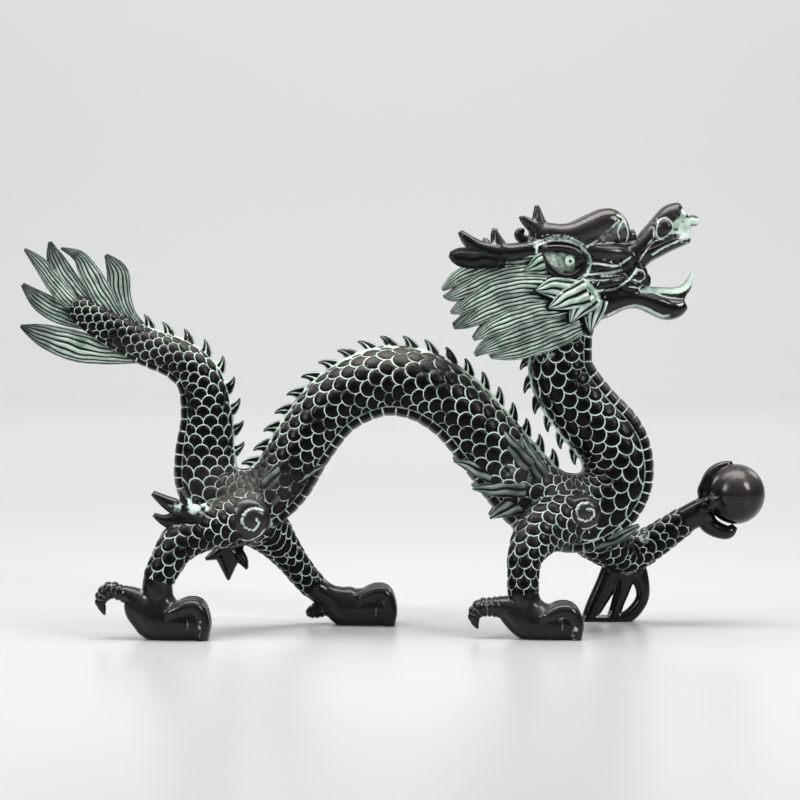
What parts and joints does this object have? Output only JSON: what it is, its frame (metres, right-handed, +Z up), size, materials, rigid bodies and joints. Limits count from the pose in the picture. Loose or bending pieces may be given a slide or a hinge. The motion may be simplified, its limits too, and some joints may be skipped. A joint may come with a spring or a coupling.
{
  "type": "dragon sculpture",
  "caption": "Cast dragon walking on clawed feet with an arched scaled body, flowing mane, open jaws, a feathered tail fin and a raised claw that holds a pearl.",
  "frame": {"origin": "centre of the footprint, on the ground under the feet", "axes": "+X along the length towards the head and the pearl, +Z up, +Y towards the raised paw's side"},
  "size_m": [0.35, 0.08, 0.2],
  "materials": {
    "patinated_metal": "near-black patina, rubbed brown on the upper faces, pale green verdigris in the grooves"
  },
  "bodies": {
    "root": {"dragon": "patinated_metal"}
  },
  "joints": []
}
